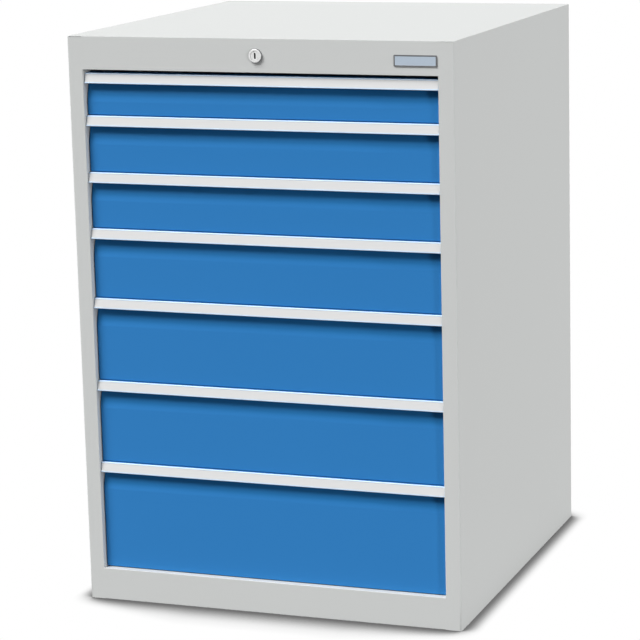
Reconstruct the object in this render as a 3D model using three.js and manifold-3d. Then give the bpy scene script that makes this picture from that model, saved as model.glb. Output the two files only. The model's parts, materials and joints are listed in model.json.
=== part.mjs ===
// An industrial drawer cabinet: a folded steel carcass, seven full-extension drawers and one central lock.
// Millimetres. X points right, Y from the front to the back and Z up, with the floor at Z = 0.
import * as THREE from "three";
import { mergeVertices } from "three/addons/utils/BufferGeometryUtils.js";
import Module from "manifold-3d";

// Driving dimensions
const gridStep = 25;
const pitchShares = [3, 4, 4, 5, 6, 6, 8];
const usableWidth = 600;
const usableDepth = 600;
const railSpace = 23;
const rearSpace = 103;
const stileWidth = 28;
const fasciaHeight = 58;
const baseHeight = 58;
const carcassSheet = 1.5;
const drawerSheet = 1.5;

// Clearances and overruns
const seatGap = 0.3;
const seamGap = 0.1;
const frontGap = 1;
const bottomGap = 1.4;
const topGap = 5.9;
const sideGap = 2;
const stripGap = 0.7;
const gridDrop = 1.9;
const overrun = 5;

// Drawer front: a folded pan with a finger recess under its top lip
const front = {
  sheet: 1.25,
  recess: 11,
  depth: 19,
  pocketDip: 8,
  pocketRun: 33,
  pocketPower: 1.6,
  lipHeight: 6,
  topFlange: 20,
  footFlange: 14,
  curveSteps: 7,
};

// Handle: an extruded strip that leans back, with a rim above and below its label channel
const handle = {
  drop: 0.2,
  rise: 18.1,
  inset: 2,
  lean: 4,
  plate: 2.2,
  rim: 2.2,
  labelDip: 0.8,
  edge: 0.6,
  bead: 1.8,
  beadRise: 3.6,
};

// Drawer box: an open pan with a folded rim, a runner on each side and a catch for the lock
const box = { rise: 7.3, topDrop: 11.7, rim: 6 };
const runner = { rise: 20, height: 31, reach: 9, sheet: 1.5 };
const beam = { flange: 2, web: 2.5, play: 0.4 };
const railLength = 600;
const drawerCatch = { setback: 1, thickness: 2, reach: 19, gap: 3, height: 8 };

// Carcass folds
const fold = { radius: 3.5, steps: 4, stileReturn: 30, fasciaReturn: 22, backFlange: 25, footFlange: 30 };
const deckFlange = 40;

// Posts that carry the rails
const post = { inset: 1, depth: 40, spacing: 520, tieHeight: 40, tieInset: 12 };

// Central lock
const lockBar = { standoff: 6, thickness: 3, width: 16, offset: 1, armHeight: 24, tail: 14 };
const hook = { reach: 13, height: 6, clear: 1.5, travel: 10 };
const plug = { radius: 8, play: 0.2, sink: 0.6, shaft: 5, slotWidth: 3, slotHeight: 10, slotDepth: 5 };
const rosette = { rim: 3.8, wall: 1.3, proud: 4, chamfer: 1.2, depth: 20, steps: 32 };
const cam = { hub: 7.5, tip: 4.5, thickness: 4, pin: 2.5, pinTip: 1.5, slack: 2.6, steps: 20 };
const lockAboveFascia = 29;

// Name plate
const plate = { width: 76, height: 19.5, thickness: 1.2, corner: 1.6, inset: 1, drop: 23.4, steps: 3 };

// Sizes that follow from the ones above
const boxHalf = usableWidth / 2 + drawerSheet;
const openingHalf = boxHalf + railSpace;
const cabinetHalf = openingHalf + stileWidth;
const boxStart = front.recess + front.depth;
const boxLength = usableDepth + 2 * drawerSheet;
const cabinetDepth = boxStart + boxLength + rearSpace;
const drawerPitches = pitchShares.map((share) => share * gridStep);
const drawersHeight = drawerPitches.reduce((sum, pitch) => sum + pitch, 0);
const gridLow = baseHeight - gridDrop;
const openingTop = gridLow + drawersHeight - frontGap + topGap;
const cabinetHeight = openingTop + fasciaHeight;
const frontFace = (rosette.proud - cabinetDepth) / 2;
const rearFace = frontFace + cabinetDepth;
const frontHalf = openingHalf - sideGap;
const stripHalf = openingHalf - stripGap;
const innerHalf = cabinetHalf - carcassSheet;
const handleLip = handle.inset + handle.lean + handle.plate + seatGap;
const barFace = frontFace + fold.stileReturn + lockBar.standoff;
const postFace = barFace + lockBar.thickness + seatGap;
const postHalf = openingHalf - post.inset;
const lockHeight = openingTop + lockAboveFascia;
const lockBore = plug.radius + plug.play;
const lockTube = lockBore + rosette.wall;
const hookAbove = runner.height / 2 + hook.clear;
const catchAbove = hookAbove + hook.height + drawerCatch.gap;

const drawers = drawerPitches.map((pitch, index) => {
  const below = drawerPitches.slice(index + 1).reduce((sum, other) => sum + other, 0);
  const low = gridLow + below;
  const boxBottom = low + box.rise;
  return {
    name: `drawer_${index + 1}`,
    rail: `rail_${index + 1}`,
    bottom: Math.max(low, baseHeight + bottomGap),
    top: low + pitch - frontGap,
    boxBottom,
    runnerHeight: boxBottom + runner.rise,
  };
});

// Finishes
const finishes = {
  carcass: { color: 0xc8cac9, roughness: 0.5, metalness: 0 },
  blue: { color: 0x2e78bd, roughness: 0.45, metalness: 0 },
  aluminium: { color: 0xdcdcdc, roughness: 0.35, metalness: 0.6 },
  inner: { color: 0xb9bcbc, roughness: 0.5, metalness: 0 },
  zinc: { color: 0xb4b8ba, roughness: 0.35, metalness: 0.9 },
  chrome: { color: 0xd9dadb, roughness: 0.15, metalness: 1 },
  plate: { color: 0xc3cdd8, roughness: 0.4, metalness: 0.2 },
};

const wasm = await Module();
wasm.setup();

// Solids for joining and cutting
function solidOf(geometry) {
  const bare = geometry.clone();
  bare.deleteAttribute("normal");
  bare.deleteAttribute("uv");
  const merged = mergeVertices(bare);
  const vertProperties = new Float32Array(merged.attributes.position.array);
  const triVerts = new Uint32Array(merged.index.array);
  return new wasm.Manifold(new wasm.Mesh({ numProp: 3, vertProperties, triVerts }));
}

function geometryOf(solid) {
  const mesh = solid.getMesh();
  const geometry = new THREE.BufferGeometry();
  geometry.setAttribute("position", new THREE.BufferAttribute(mesh.vertProperties, 3));
  geometry.setIndex(new THREE.BufferAttribute(mesh.triVerts, 1));
  const flat = geometry.toNonIndexed();
  flat.computeVertexNormals();
  return flat;
}

function join(...geometries) {
  return geometryOf(geometries.map(solidOf).reduce((whole, next) => whole.add(next)));
}

function cut(geometry, ...tools) {
  return geometryOf(tools.map(solidOf).reduce((whole, next) => whole.subtract(next), solidOf(geometry)));
}

// A block between two opposite corners
function block(low, high) {
  const size = high.map((value, axis) => value - low[axis]);
  const centre = high.map((value, axis) => (value + low[axis]) / 2);
  return new THREE.BoxGeometry(...size).translate(...centre);
}

// An outline of [x, y] points, extruded along Z between two heights
function alongZ(points, low, high, hole) {
  const shape = new THREE.Shape(points.map(([x, y]) => new THREE.Vector2(x, y)));
  if (hole) shape.holes.push(new THREE.Path(hole.map(([x, y]) => new THREE.Vector2(x, y))));
  const geometry = new THREE.ExtrudeGeometry(shape, { depth: high - low, bevelEnabled: false });
  return geometry.translate(0, 0, low);
}

// The same for an outline of [y, z] points along X, and of [x, z] points along Y
const axisX = new THREE.Vector3(1, 0, 0);
const axisY = new THREE.Vector3(0, 1, 0);
const axisZ = new THREE.Vector3(0, 0, 1);
const turnToX = new THREE.Matrix4().makeBasis(axisY, axisZ, axisX);
const turnToY = new THREE.Matrix4().makeBasis(axisX, axisZ, axisY.clone().negate());

function alongX(points, low, high) {
  return alongZ(points, low, high).applyMatrix4(turnToX);
}

function alongY(points, low, high, hole) {
  return alongZ(points, -high, -low, hole).applyMatrix4(turnToY);
}

// The same piece on the other side of the cabinet
function mirrored(points) {
  return points.map(([x, y]) => [-x, y]);
}

// A line with its inner corners rounded
function rounded(line, radius, steps) {
  const points = line.map(([x, y]) => new THREE.Vector2(x, y));
  return points.flatMap((corner, index) => {
    if (index === 0 || index === points.length - 1) return [corner.toArray()];
    const back = points[index - 1].clone().sub(corner).normalize();
    const on = points[index + 1].clone().sub(corner).normalize();
    const half = Math.acos(back.dot(on)) / 2;
    const start = corner.clone().addScaledVector(back, radius / Math.tan(half));
    const bisector = back.clone().add(on).normalize();
    const centre = corner.clone().addScaledVector(bisector, radius / Math.sin(half));
    const spoke = start.sub(centre);
    const turn = (Math.PI - 2 * half) * Math.sign(on.cross(back));
    const stops = Array.from({ length: steps + 1 }, (_, step) => (turn * step) / steps);
    return stops.map((angle) => spoke.clone().rotateAround(new THREE.Vector2(), angle).add(centre).toArray());
  });
}

// The line that lies one sheet thickness to the right of another
function inset(line, sheet) {
  const points = line.map(([x, y]) => new THREE.Vector2(x, y));
  const normals = points.slice(1).map((point, index) => {
    const along = point.clone().sub(points[index]).normalize();
    return new THREE.Vector2(along.y, -along.x);
  });
  return points.map((point, index) => {
    const before = normals[Math.max(index - 1, 0)];
    const after = normals[Math.min(index, normals.length - 1)];
    const mitre = before.clone().add(after).divideScalar(1 + before.dot(after));
    return point.clone().addScaledVector(mitre, sheet).toArray();
  });
}

// The outline of a folded sheet: its outer line, and back again along its inner one
function folded(line, sheet) {
  return [...line, ...inset(line, sheet).reverse()];
}

// A circle, or part of one, as points
function arc(centre, radius, from, to, steps) {
  return Array.from({ length: steps + 1 }, (_, step) => {
    const angle = from + ((to - from) * step) / steps;
    return [centre[0] + radius * Math.cos(angle), centre[1] + radius * Math.sin(angle)];
  });
}

function disc(centre, radius, steps) {
  return arc(centre, radius, 0, 2 * Math.PI, steps).slice(0, -1);
}

// A solid turned about the lock's axis, from a [radius, y] profile whose outside runs from the front to the back
function turned(profile, steps) {
  const points = profile.map(([radius, y]) => new THREE.Vector2(radius, y));
  return new THREE.LatheGeometry(points, steps).translate(0, 0, lockHeight);
}

// Carcass
function sidePanel(side) {
  const wrap = [
    [cabinetHalf - fold.backFlange, rearFace],
    [cabinetHalf, rearFace],
    [cabinetHalf, frontFace],
    [openingHalf, frontFace],
  ];
  const line = [...rounded(wrap, fold.radius, fold.steps), [openingHalf, frontFace + fold.stileReturn]];
  const outline = folded(line, carcassSheet);
  return alongZ(side > 0 ? outline : mirrored(outline), 0, cabinetHeight - carcassSheet - seamGap);
}

function topPanel() {
  const line = [
    [frontFace + fold.fasciaReturn, openingTop],
    [frontFace, openingTop],
    [frontFace, cabinetHeight],
    [rearFace, cabinetHeight],
    [rearFace, cabinetHeight - fold.backFlange],
  ];
  const half = openingHalf - seamGap;
  const fascia = alongX(folded(line, carcassSheet), -half, half);
  const corner = [cabinetHalf, frontFace];
  const edge = [[0, rearFace], [cabinetHalf, rearFace], corner, [0, frontFace]];
  const outline = rounded(edge, fold.radius, fold.steps);
  const low = cabinetHeight - carcassSheet;
  const sheets = [outline, mirrored(outline)].map((points) => alongZ(points, low, cabinetHeight));
  const hole = turned(
    [[0, frontFace - overrun], [lockTube + seatGap, frontFace - overrun],
      [lockTube + seatGap, frontFace + overrun], [0, frontFace + overrun]],
    rosette.steps,
  );
  return cut(join(fascia, ...sheets), hole);
}

function basePanel() {
  const line = [
    [frontFace + fold.footFlange, 0],
    [frontFace, 0],
    [frontFace, baseHeight],
    [rearFace, baseHeight],
    [rearFace, 0],
    [rearFace - fold.footFlange, 0],
  ];
  const half = openingHalf - seamGap;
  const rail = alongX(folded(line, carcassSheet), -half, half);
  const reach = innerHalf - seatGap;
  const wing = folded(
    [[half - deckFlange, 0], [reach, 0], [reach, baseHeight], [half - deckFlange, baseHeight]].reverse(),
    carcassSheet,
  );
  const start = frontFace + fold.stileReturn + seatGap;
  const end = rearFace - fold.radius - seatGap;
  return join(rail, alongY(wing, start, end), alongY(mirrored(wing), start, end));
}

function backPanel() {
  const reach = cabinetHalf - fold.radius - seatGap;
  const face = rearFace - carcassSheet - seatGap;
  return block(
    [-reach, face - carcassSheet, baseHeight + seatGap],
    [reach, face, cabinetHeight - carcassSheet - seatGap],
  );
}

function postOutline(start) {
  return folded(
    [[innerHalf - seatGap, start], [postHalf, start], [postHalf, start + post.depth],
      [innerHalf - seatGap, start + post.depth]],
    carcassSheet,
  );
}

function railFrame(side) {
  const low = baseHeight + seatGap;
  const high = cabinetHeight - carcassSheet - seatGap;
  const rearStart = postFace + post.spacing;
  const posts = [postFace, rearStart].map((start) => {
    const outline = postOutline(start);
    return alongZ(side > 0 ? outline : mirrored(outline), low, high);
  });
  const tieFaces = [innerHalf - seatGap - carcassSheet, innerHalf - seatGap].map((x) => side * x);
  const ties = [low + post.tieInset, high - post.tieInset - post.tieHeight].map((bottom) =>
    block(
      [Math.min(...tieFaces), postFace + post.depth - carcassSheet / 2, bottom],
      [Math.max(...tieFaces), rearStart + carcassSheet / 2, bottom + post.tieHeight],
    ),
  );
  return join(...posts, ...ties);
}

// Rails: a channel on the posts, a beam that rides in it, and the drawer's own channel
function channel(web, tip, centre) {
  const half = runner.height / 2;
  return folded([[tip, centre + half], [web, centre + half], [web, centre - half], [tip, centre - half]], runner.sheet);
}

function fixedRail(side, centre) {
  const web = postHalf - seatGap;
  const outline = channel(web, web - runner.reach, centre);
  const start = postFace + seatGap;
  return alongY(side > 0 ? outline : mirrored(outline), start, start + railLength);
}

function middleRail(side, centre) {
  const low = boxHalf + runner.sheet + beam.play;
  const high = postHalf - seatGap - runner.sheet - beam.play;
  const middle = (low + high) / 2;
  const half = runner.height / 2 - runner.sheet - beam.play;
  const quarter = [
    [beam.web / 2, half - beam.flange],
    [(high - low) / 2, half - beam.flange],
    [(high - low) / 2, half],
  ];
  const upper = [...quarter, ...mirrored(quarter).reverse()];
  const outline = [...upper, ...upper.map(([x, z]) => [-x, -z])];
  const placed = outline.map(([x, z]) => [side * (middle + x), centre + z]);
  const start = postFace + seatGap;
  return alongY(placed, start, start + railLength);
}

// Drawers
function drawerBox(drawer) {
  const start = frontFace + boxStart;
  const end = start + boxLength;
  const top = drawer.top - box.topDrop;
  const inner = boxHalf - drawerSheet;
  const shell = block([-boxHalf, start, drawer.boxBottom], [boxHalf, end, top]);
  const hollow = block(
    [-inner, start + drawerSheet, drawer.boxBottom + drawerSheet],
    [inner, end - drawerSheet, top + overrun],
  );
  const rim = boxHalf + box.rim;
  const rims = block([-rim, start + drawerSheet, top - drawerSheet], [rim, end, top]);
  const web = boxHalf - drawerSheet / 2;
  const runners = [1, -1].map((side) => {
    const half = runner.height / 2;
    const tip = boxHalf + runner.sheet + runner.reach - beam.play;
    const line = [[tip, half], [web, half], [web, -half], [tip, -half]];
    const points = folded(line.map(([x, z]) => [x, z + drawer.runnerHeight]).reverse(), runner.sheet);
    const thick = [[web, -half], [boxHalf + runner.sheet, -half], [boxHalf + runner.sheet, half], [web, half]];
    const pad = thick.map(([x, z]) => [x, z + drawer.runnerHeight]);
    return [points, pad].map((outline) => alongY(side > 0 ? outline : mirrored(outline), start + drawerSheet, end));
  });
  const catchLow = drawer.runnerHeight + catchAbove;
  const catchFace = postFace + drawerCatch.setback;
  const lockCatch = block(
    [boxHalf - drawerSheet / 2, catchFace, catchLow],
    [boxHalf + drawerCatch.reach, catchFace + drawerCatch.thickness, catchLow + drawerCatch.height],
  );
  return cut(join(shell, rims, ...runners.flat(), lockCatch), hollow);
}

// The front's outer line, from the end of its foot flange round to the end of its top flange
function frontLine(drawer) {
  const back = frontFace + boxStart - seatGap;
  const face = frontFace + front.recess;
  const pocket = face + front.pocketDip;
  const curveTop = drawer.top - handle.drop - handle.rise;
  const curve = Array.from({ length: front.curveSteps + 1 }, (_, step) => {
    const share = step / front.curveSteps;
    return [face + front.pocketDip * share ** front.pocketPower, curveTop - front.pocketRun * (1 - share)];
  });
  const ledge = drawer.top - front.lipHeight;
  const lip = frontFace + handleLip;
  return [
    [back, drawer.bottom + front.footFlange],
    [back, drawer.bottom],
    [face, drawer.bottom],
    ...curve,
    [pocket, ledge],
    [lip, ledge],
    [lip, drawer.top],
    [back, drawer.top],
    [back, drawer.top - front.topFlange],
  ];
}

// The pan is the solid inside that line less a hollow one sheet smaller, open between its two back flanges
function drawerFront(drawer) {
  const line = frontLine(drawer);
  const inner = inset(line, front.sheet);
  const behind = line[0][0] + overrun;
  const mouth = [[behind, line[0][1]], ...inner, [behind, line.at(-1)[1]]];
  const hollowHalf = frontHalf - front.sheet;
  return cut(alongX(line.slice(1, -1), -frontHalf, frontHalf), alongX(mouth, -hollowHalf, hollowHalf));
}

function drawerHandle(drawer) {
  const low = drawer.top - handle.drop - handle.rise;
  const foot = frontFace + handle.inset;
  const length = Math.hypot(handle.rise, handle.lean);
  const at = (up, into) => [
    foot + (up * handle.lean + into * handle.rise) / length,
    low + (up * handle.rise - into * handle.lean) / length,
  ];
  const seat = foot + handle.lean + handle.plate;
  const ledge = drawer.top - front.lipHeight;
  const outline = [
    at(0, handle.edge),
    at(handle.edge, 0),
    at(handle.rim, 0),
    at(handle.rim, handle.labelDip),
    at(length - handle.rim, handle.labelDip),
    at(length - handle.rim, 0),
    at(length - handle.edge, 0),
    [foot + handle.lean + handle.edge, low + handle.rise],
    [seat, low + handle.rise],
    [seat, ledge],
    at(length - front.lipHeight, handle.plate),
    at(handle.beadRise, handle.plate),
    at(handle.beadRise - handle.edge, handle.plate + handle.bead),
    at(handle.edge, handle.plate + handle.bead),
    at(0, handle.plate + handle.bead - handle.edge),
  ];
  return alongX(outline, -stripHalf, stripHalf);
}

// Lock
function lockRosette() {
  const rim = frontFace - rosette.proud;
  const seat = frontFace - seatGap;
  const radius = lockBore + rosette.rim;
  return turned(
    [
      [lockBore, rim],
      [radius - rosette.chamfer, rim],
      [radius, rim + rosette.chamfer],
      [radius, seat],
      [lockTube, seat],
      [lockTube, frontFace + rosette.depth],
      [lockBore, frontFace + rosette.depth],
      [lockBore, rim],
    ],
    rosette.steps,
  );
}

function lockCylinder() {
  const face = frontFace - rosette.proud + plug.sink;
  const camFace = barFace - seatGap - cam.thickness;
  const barrel = turned(
    [
      [0, face],
      [plug.radius, face],
      [plug.radius, frontFace + rosette.depth],
      [plug.shaft, frontFace + rosette.depth],
      [plug.shaft, camFace + cam.thickness / 2],
      [0, camFace + cam.thickness / 2],
    ],
    rosette.steps,
  );
  const pinCentre = [-hook.travel, lockHeight];
  const lever = [
    ...arc([0, lockHeight], cam.hub, -Math.PI / 2, Math.PI / 2, cam.steps / 2),
    ...arc(pinCentre, cam.tip, Math.PI / 2, (3 * Math.PI) / 2, cam.steps / 2),
  ];
  const arm = alongY(lever, camFace, camFace + cam.thickness);
  const pinEnd = barFace + lockBar.thickness + cam.pinTip;
  const pin = alongY(disc(pinCentre, cam.pin, cam.steps), camFace + cam.thickness / 2, pinEnd);
  const keySlot = block(
    [-plug.slotWidth / 2, face - overrun, lockHeight - plug.slotHeight / 2],
    [plug.slotWidth / 2, face + plug.slotDepth, lockHeight + plug.slotHeight / 2],
  );
  return cut(join(barrel, arm, pin), keySlot);
}

// The bar's outline: an arm behind the fascia, an upright beside the drawers and a hook for each catch
function lockBarPiece() {
  const inner = openingHalf + lockBar.offset;
  const outer = inner + lockBar.width;
  const armTop = lockHeight + lockBar.armHeight / 2;
  const armLow = lockHeight - lockBar.armHeight / 2;
  const reach = cam.pin + cam.slack;
  const armEnd = -hook.travel - reach - lockBar.tail / 2;
  const teeth = drawers.flatMap((drawer) => {
    const low = drawer.runnerHeight + hookAbove;
    return [[inner, low + hook.height], [inner - hook.reach, low + hook.height], [inner - hook.reach, low], [inner, low]];
  });
  const foot = drawers.at(-1).runnerHeight + hookAbove - lockBar.tail;
  const outline = [[armEnd, armTop], [armEnd, armLow], [inner, armLow], ...teeth, [inner, foot], [outer, foot], [outer, armTop]];
  const slotLeft = -hook.travel - reach;
  const slot = [[slotLeft, lockHeight - reach], [reach, lockHeight - reach], [reach, lockHeight + reach],
    [slotLeft, lockHeight + reach]];
  return alongY(outline, barFace, barFace + lockBar.thickness, slot);
}

// Name plate
function namePlate() {
  const right = openingHalf - plate.inset;
  const left = right - plate.width;
  const top = cabinetHeight - plate.drop;
  const low = top - plate.height;
  const half = Math.PI / 2;
  const corners = [[left, low], [right, low], [right, top], [left, top]];
  const inward = [[1, 1], [-1, 1], [-1, -1], [1, -1]];
  const outline = corners.flatMap(([x, z], index) => {
    const centre = [x + inward[index][0] * plate.corner, z + inward[index][1] * plate.corner];
    return arc(centre, plate.corner, half * (index + 2), half * (index + 3), plate.steps);
  });
  return alongY(outline, frontFace - seatGap - plate.thickness, frontFace - seatGap);
}

// Scene graph
const cabinet = new THREE.Group();

function place(name, geometry, finish) {
  const material = new THREE.MeshStandardMaterial(finishes[finish]);
  const mesh = new THREE.Mesh(geometry, material);
  mesh.name = name;
  cabinet.add(mesh);
}

place("left_side_panel", sidePanel(-1), "carcass");
place("right_side_panel", sidePanel(1), "carcass");
place("top_panel", topPanel(), "carcass");
place("base_panel", basePanel(), "carcass");
place("back_panel", backPanel(), "carcass");
place("left_rail_frame", railFrame(-1), "zinc");
place("right_rail_frame", railFrame(1), "zinc");
place("lock_rosette", lockRosette(), "chrome");
place("lock_cylinder", lockCylinder(), "chrome");
place("lock_bar", lockBarPiece(), "zinc");
place("name_plate", namePlate(), "plate");

for (const drawer of drawers) {
  place(`${drawer.name}_box`, drawerBox(drawer), "inner");
  place(`${drawer.name}_front`, drawerFront(drawer), "blue");
  place(`${drawer.name}_handle`, drawerHandle(drawer), "aluminium");
  for (const [word, side] of [["left", -1], ["right", 1]]) {
    place(`${drawer.rail}_${word}_fixed`, fixedRail(side, drawer.runnerHeight), "zinc");
    place(`${drawer.rail}_${word}_middle`, middleRail(side, drawer.runnerHeight), "zinc");
  }
}

export default cabinet;
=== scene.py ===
"""Industrial drawer cabinet: a folded steel carcass, seven blue drawers with grip strips, and one lock.

Run this file as a script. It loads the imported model, builds the finer pieces over it, and gives every
surface its finish. Lengths are in metres, X to the right, Y from the front to the back and Z up.
"""
import json
import math

import bmesh
import bpy
from bpy.props import FloatProperty, FloatVectorProperty, IntProperty, PointerProperty
from mathutils import Matrix, Quaternion, Vector

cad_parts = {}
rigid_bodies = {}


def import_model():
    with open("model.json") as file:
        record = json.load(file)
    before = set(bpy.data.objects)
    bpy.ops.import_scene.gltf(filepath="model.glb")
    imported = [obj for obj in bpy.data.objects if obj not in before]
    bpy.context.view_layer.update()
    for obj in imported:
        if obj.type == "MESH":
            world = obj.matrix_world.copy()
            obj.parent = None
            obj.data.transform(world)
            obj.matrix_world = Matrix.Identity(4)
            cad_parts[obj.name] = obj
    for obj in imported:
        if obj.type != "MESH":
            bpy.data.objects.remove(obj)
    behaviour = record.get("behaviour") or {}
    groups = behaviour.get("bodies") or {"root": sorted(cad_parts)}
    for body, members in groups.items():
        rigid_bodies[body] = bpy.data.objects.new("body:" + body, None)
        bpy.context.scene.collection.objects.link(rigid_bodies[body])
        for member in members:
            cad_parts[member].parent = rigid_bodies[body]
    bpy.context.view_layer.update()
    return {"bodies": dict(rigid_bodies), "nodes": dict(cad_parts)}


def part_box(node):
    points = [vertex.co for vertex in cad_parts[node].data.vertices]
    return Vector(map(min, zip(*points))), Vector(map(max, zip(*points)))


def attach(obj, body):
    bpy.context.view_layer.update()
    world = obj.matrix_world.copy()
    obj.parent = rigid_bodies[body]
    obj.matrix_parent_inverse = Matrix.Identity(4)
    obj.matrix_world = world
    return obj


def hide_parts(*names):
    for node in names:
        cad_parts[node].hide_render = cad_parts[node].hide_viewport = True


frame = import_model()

bl_info = {
    "name": "Industrial Drawer Cabinet",
    "version": (1, 0, 0),
    "blender": (4, 5, 0),
    "location": "3D View > Sidebar > Cabinet",
    "description": "Builds a workshop drawer cabinet from its packed model",
    "category": "Add Mesh",
}

DRAWERS = sorted(name for name in frame["bodies"] if name.startswith("drawer_"))


# Properties

def length(value, name, description):
    return FloatProperty(name=name, description=description, default=value, unit="LENGTH", precision=5)


def colour(value, name, description):
    return FloatVectorProperty(name=name, description=description, default=value, subtype="COLOR", size=3,
                               min=0, max=1)


def amount(value, name, description, **limits):
    return FloatProperty(name=name, description=description, default=value, **limits)


def count(value, name, description):
    return IntProperty(name=name, description=description, default=value, min=1, max=256)


def degrees(value, name, description):
    return FloatProperty(name=name, description=description, default=math.radians(value), subtype="ANGLE")


def triple(value, name, description, unit="NONE"):
    return FloatVectorProperty(name=name, description=description, default=value, unit=unit, size=3)


class CarcassSizes(bpy.types.PropertyGroup):
    sheet: length(0.0015, "Sheet", "Thickness of the carcass sheet")
    bend: length(0.0035, "Bend", "Radius of the upright front and rear corners")
    crease: length(0.0009, "Crease", "Radius of the tight folds")
    raw_edge: length(0.0003, "Raw edge", "Softening of the sheet's cut edges")
    back_flange: length(0.025, "Back flange", "Width of the flanges round the back panel")
    stile_return: length(0.030, "Stile return", "Depth of the stile's inner face")
    fascia_return: length(0.022, "Fascia return", "Depth of the fold under the fascia")
    foot_flange: length(0.030, "Foot flange", "Depth of the flange that stands on the floor")
    deck_flange: length(0.040, "Deck flange", "Width of the side flanges of the base")
    play: length(0.0003, "Play", "Room between a sheet and what it lies beside")


class BackSizes(bpy.types.PropertyGroup):
    margin: length(0.045, "Margin", "Width of the flat border of the back panel")
    slope: length(0.006, "Slope", "Width of the step round the pressed field")
    press: length(0.0009, "Press", "Depth of the pressed field, and height of its ribs")
    rib: length(0.024, "Rib", "Width of the two ribs across the field")
    rib_slope: length(0.004, "Rib slope", "Width of the ribs' sloping edges")
    burr: length(0.0002, "Burr", "Rounding of the panel's edges")
    rivet: length(0.0035, "Rivet", "Radius of the rivet heads")
    rivet_rise: length(0.0010, "Rivet rise", "Height of the rivet heads")
    rivet_round: length(0.0007, "Rivet rounding", "Rounding of the rivet heads")
    rivet_side: length(0.034, "Rivet side", "Distance of the rivets from the panel's sides")
    rivet_end: length(0.060, "Rivet end", "Distance of the outer rivets from the panel's ends")
    rivets: count(8, "Rivets", "Rivets in each row")


class FrontSizes(bpy.types.PropertyGroup):
    sheet: length(0.00125, "Sheet", "Thickness of the front's sheet")
    recess: length(0.011, "Recess", "Depth of the front's face behind the carcass face")
    dip: length(0.008, "Dip", "Depth of the finger recess")
    run: length(0.033, "Run", "Height over which the face curves back")
    curve_low: length(0.0513, "Curve low", "Distance of the curve's lower end from the front's top")
    power: amount(1.6, "Power", "How late the face curves back", min=1, max=6)
    # Painted shade: the fronts' coat is painted darker over this depth into the finger recess
    handled: length(0.0016, "Handled", "Depth over which the coat of the finger recess darkens")
    lip: length(0.006, "Lip", "Height of the lip that carries the strip")
    top_flange: length(0.020, "Top flange", "Height of the rear top flange")
    foot_flange: length(0.014, "Foot flange", "Height of the rear foot flange")
    crease: length(0.0008, "Crease", "Radius of the front's folds and ends")
    steps: count(14, "Steps", "Faces along the curve")


class StripSizes(bpy.types.PropertyGroup):
    drop: length(0.0002, "Drop", "Distance of the strip's top from the front's top")
    rise: length(0.0181, "Rise", "Height of the strip")
    lean: length(0.0040, "Lean", "How far the strip's top leans back")
    plate: length(0.0022, "Plate", "Thickness of the strip")
    rim: length(0.0022, "Rim", "Width of the rims above and below the label channel")
    dip: length(0.0008, "Dip", "Depth of the label channel")
    bead: length(0.0018, "Bead", "Depth of the finger bead behind the strip")
    bead_rise: length(0.0036, "Bead rise", "Height of the finger bead")
    edge: length(0.0006, "Edge", "Chamfer of the strip's edges")
    label: length(0.0005, "Label", "Thickness of the label strip")
    play: length(0.0001, "Play", "Room between the label strip and its channel")
    burr: length(0.00022, "Burr", "Rounding of the strip's edges")


class LockSizes(bpy.types.PropertyGroup):
    bore: length(0.0082, "Bore", "Radius of the rosette's bore")
    chamfer: length(0.0012, "Chamfer", "Rounding of the rosette's rim")
    lip: length(0.0004, "Lip", "Rounding of the bore's edge")
    seat: length(0.0003, "Seat", "Room between the rosette's face and the fascia")
    plug: length(0.0080, "Plug", "Radius of the lock's cylinder")
    sink: length(0.0006, "Sink", "Depth of the cylinder's face behind the rosette")
    plug_edge: length(0.0005, "Plug edge", "Rounding of the cylinder's edge")
    groove_in: length(0.0016, "Groove inset", "Distance of the groove from the cylinder's edge")
    groove: length(0.0003, "Groove", "Depth and width of the groove's walls")
    slot_corner: length(0.0008, "Slot corner", "Radius of the key slot's corners")
    slot_width: length(0.0030, "Slot width", "Width of the key slot")
    slot_height: length(0.0100, "Slot height", "Height of the key slot")
    slot_depth: length(0.0050, "Slot depth", "Depth of the key slot")
    wall: length(0.0013, "Wall", "Thickness of the rosette's tube")
    play: length(0.0003, "Play", "Room between the lock's pieces")
    shaft: length(0.0050, "Shaft", "Radius of the shaft behind the cylinder")
    hub: length(0.0075, "Hub", "Radius of the lever's hub")
    tip: length(0.0045, "Tip", "Radius of the lever's end")
    throw: length(0.0100, "Throw", "Distance of the pin from the lock's axis")
    lever: length(0.0040, "Lever", "Thickness of the lever")
    pin: length(0.0025, "Pin", "Radius of the lever's pin")


class PlateSizes(bpy.types.PropertyGroup):
    corner: length(0.0016, "Corner", "Radius of the plate's corners")
    border: length(0.0021, "Border", "Width of the dark border")
    sink: length(0.0003, "Sink", "Depth of the bare face behind the border")
    wall: length(0.0002, "Wall", "Width of the slope between the border and the face")
    burr: length(0.00015, "Burr", "Rounding of the plate's edges")


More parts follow.
